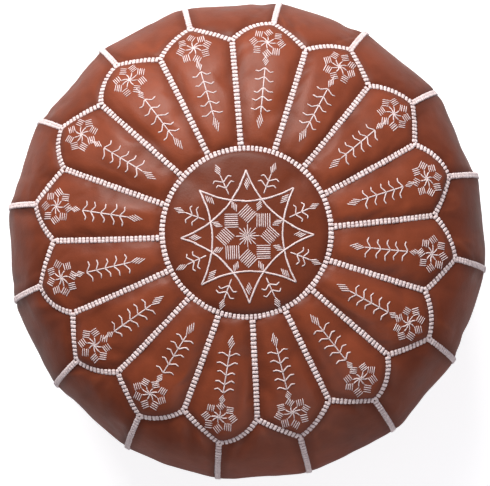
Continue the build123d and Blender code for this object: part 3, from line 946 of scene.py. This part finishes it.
def brass_material():
    """Brushed brass with handling marks and darker tarnish."""
    s = Shader("zip_brass")
    place = s.place()
    bright, dull = (0.78, 0.56, 0.26, 1), (0.34, 0.20, 0.08, 1)
    stretched = s.node("Mapping", {"Vector": place, "Scale": (60.0, 900.0, 900.0)}).outputs[0]
    brush = s.noise(1.0, 3.0, 0.6, stretched)
    tarnish = s.noise(130.0, 4.0, 0.65, place)
    s.set(Base_Color=s.mix(s.ranged(tarnish, 0.4, 0.75, 0.0, 0.7), bright, dull), Metallic=1.0)
    s.set(Roughness=s.ranged(tarnish, 0.3, 0.7, 0.24, 0.46), Normal=s.bump(brush, 0.04 * MM, 0.5))
    return s.material


def floor_material():
    """A pale floor that glows for the camera alone, so that it looks white and lights nothing."""
    s = Shader("pale_floor")
    cloud = s.noise(2.0, 2.0, 0.5, s.place())
    s.set(Base_Color=s.mix(cloud, (0.60, 0.60, 0.60, 1), (0.64, 0.64, 0.64, 1)), Roughness=0.9)
    glow = s.math("MULTIPLY", s.node("LightPath").outputs["Is Camera Ray"], 0.74)
    s.set(Emission_Color=(1, 1, 1, 1), Emission_Strength=glow)
    return s.material


# ---- the inside ----
def turned_solid(name, depth, thickness, around=96):
    """A closed body that follows the cover at a depth below it, or a shell of it with a thickness.

    Its underside stays clear of the zip, at the height called roof."""
    s = np.linspace(0, S_BASE, 90)
    roof = max(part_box("zipper_slider")[1].z + 2 * MM, BASE_LIFT + depth)
    theta, down = np.meshgrid(np.linspace(0, 2 * math.pi, around, endpoint=False), s[1:])

    def shell(extra):
        points = skin(theta, down, -(depth + extra))
        points[..., 2] = np.maximum(points[..., 2], INSIDE_CLEAR + extra)
        points[-1, :, 2] = roof + extra
        crown = (0, 0, HEIGHT - depth - extra)
        return np.concatenate([points.reshape(-1, 3), [crown, (0, 0, roof + extra)]])

    rows = len(s) - 1
    faces = []
    for low in range(0, (rows - 1) * around, around):
        for k in range(around):
            after = (k + 1) % around
            faces.append((low + k, low + around + k, low + around + after, low + after))
    crown, hub, last = rows * around, rows * around + 1, (rows - 1) * around
    for k in range(around):
        after = (k + 1) % around
        faces.append((crown, k, after))
        faces.append((hub, last + after, last + k))
    points = shell(0)
    if thickness:
        faces += [tuple(i + len(points) for i in reversed(face)) for face in faces]
        points = np.concatenate([points, shell(thickness)])
    return mesh_object(name, points, faces)


# ---- build ----
leather, thread = leather_material(), thread_material()
tape_cloth = cloth_material("zip_tape_cloth", (0.16, 0.075, 0.040, 1), (0.07, 0.030, 0.016, 1), 420.0)
cotton = cloth_material("cotton_lining", (0.72, 0.66, 0.55, 1), (0.50, 0.44, 0.35, 1), 260.0)
stuffing = cloth_material("stuffing", (0.80, 0.76, 0.68, 1), (0.56, 0.52, 0.45, 1), 90.0)
brass = brass_material()

panels = [medallion_patch()]
panels += [petal_patch(k) for k in range(PETALS)]
panels += [side_patch(k) for k in range(PETALS)]
swelled(panels)
for panel in panels:
    panel.points[..., 2] = np.maximum(panel.points[..., 2], 0.0)
halves = [base_patch(1, "base_leather_left", "base_panel_left")]
halves += [base_patch(-1, "base_leather_right", "base_panel_right")]
surface = leather_pieces(panels + halves, leather)

for number, (seam_name, paths) in enumerate(seam_paths().items()):
    stitched(seam_name, paths, seam_name, (thread, leather), SEEDS["seam"] + number)

medallion_strokes = medallion_motif(random.Random(MEDALLION_MOTIF_SEED))
medallion_strokes = turned(medallion_strokes, MEDALLION_TURN, MEDALLION_DRIFT)
thread_work("medallion_threads", medallion_strokes, surface, thread, "medallion_embroidery")
petal_strokes = []
for k in range(PETALS):
    hand = random.Random(PETAL_MOTIF_SEED + k)
    motif = petal_motif(hand)
    if k % 2:   # every second motif is mirrored
        motif = [stroke * [1, -1, 1] for stroke in motif]
    for stroke in turned(motif, (k + 0.5) * STEP + hand.gauss(0, 0.006)):
        share = drift_share(arc_at(np.hypot(stroke[:, 0], stroke[:, 1])))
        stroke[:, 0] += TOP_DRIFT[0] * share
        stroke[:, 1] += TOP_DRIFT[1] * share
        petal_strokes.append(stroke)
thread_work("petal_threads", petal_strokes, surface, thread, "petal_embroidery")

lining_piece = turned_solid("lining_cloth", LINING_DEPTH, LINING_THICKNESS)
finish_piece(lining_piece, cotton)
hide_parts("lining")
filling_piece = turned_solid("stuffing_body", STUFFING_DEPTH, 0)
finish_piece(filling_piece, stuffing)
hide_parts("filling")

for name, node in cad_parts.items():
    if not name.startswith("zipper"):
        continue
    for slot in node.material_slots:
        slot.link = "OBJECT"
        slot.material = tape_cloth if "tape" in name else thread if "stitching" in name else brass

# ---- stage ----
FAR = 30
floor = mesh_object("floor", [(-FAR, -FAR, 0), (FAR, -FAR, 0), (FAR, FAR, 0), (-FAR, FAR, 0)], [(0, 1, 2, 3)])
floor.location.z = -0.4 * MM    # just clear of the leather
floor.data.materials.append(floor_material())


def softbox(name, place, target, size, watts, colour):
    """A soft rectangular light at a place, turned to a target."""
    light = bpy.data.lights.new(name, "AREA")
    light.shape = "RECTANGLE"
    light.size, light.size_y = size
    light.energy, light.color = watts, colour
    box = bpy.data.objects.new(name, light)
    box.location = place
    box.rotation_euler = (Vector(target) - Vector(place)).to_track_quat("-Z", "Y").to_euler()
    bpy.context.scene.collection.objects.link(box)


def studio_world():
    """A white room for the camera. What lights the object is brightest low down and on the key's side."""
    world = bpy.data.worlds.new("studio")
    world.use_nodes = True
    s = Nodes(world.node_tree)
    direction = s.node("SeparateXYZ", {0: s.node("TexCoord").outputs["Generated"]}).outputs
    toward_key = s.ranged(direction["Y"], -0.7, 0.9, 0.14, 0.62)
    overhead = s.ranged(direction["Z"], 0.35, 0.9, 1.0, 0.35)
    camera_ray = s.node("LightPath").outputs["Is Camera Ray"]
    background = world.node_tree.nodes["Background"]
    s.put(background.inputs["Color"], s.mix(camera_ray, (0.94, 0.90, 1.10, 1), (1, 1, 1, 1)))
    level = s.math("MULTIPLY", toward_key, overhead)
    s.put(background.inputs["Strength"], s.ranged(camera_ray, 0.0, 1.0, level, 1.0))
    bpy.context.scene.world = world


studio_world()
softbox("key", (-0.35, 1.6, 1.75), (0, 0.05, 0.25), size=(1.5, 0.9), watts=70, colour=(1.0, 0.97, 0.94))
softbox("fill", (0.4, -1.6, 1.5), (0, 0, 0.2), size=(1.6, 1.2), watts=9, colour=(0.97, 0.97, 1.0))
softbox("low_fill", (0.5, -2.0, 0.6), (0, 0, 0.15), size=(1.8, 0.8), watts=4.5, colour=(1.0, 0.97, 0.95))
bpy.context.scene.view_settings.view_transform = "Standard"

# ---- camera: above the embroidered top, tipped and rolled a few degrees ----
ROLL = math.radians(3.8)
ELEVATION = math.radians(87.4)
DISTANCE = 2.5
FRAME_FILL = 0.98       # the share of the picture's width that the pouf takes
AIM_LEFT, AIM_DOWN = 2.2 * MM, 3.3 * MM    # how far from the axis the camera aims, as seen in the picture
up = Vector((math.sin(ROLL), math.cos(ROLL), 0))
right = Vector((math.cos(ROLL), -math.sin(ROLL), 0))
target = Vector((0, 0, float(SKIN_Z[TOP]))) - right * AIM_LEFT - up * AIM_DOWN
camera_data = bpy.data.cameras.new("camera")
camera_data.sensor_width = 36
camera_data.lens = camera_data.sensor_width * DISTANCE * FRAME_FILL / (2 * BELLY_R)
camera_data.clip_end = 50
camera = bpy.data.objects.new("camera", camera_data)
camera.location = target + (-up * math.cos(ELEVATION) + Vector((0, 0, math.sin(ELEVATION)))) * DISTANCE
toward = (target - camera.location).normalized()
camera_up = right.cross(toward)
camera.rotation_mode = "QUATERNION"
camera.rotation_quaternion = Matrix((right, camera_up, -toward)).transposed().to_quaternion()
bpy.context.scene.collection.objects.link(camera)
bpy.context.scene.camera = camera
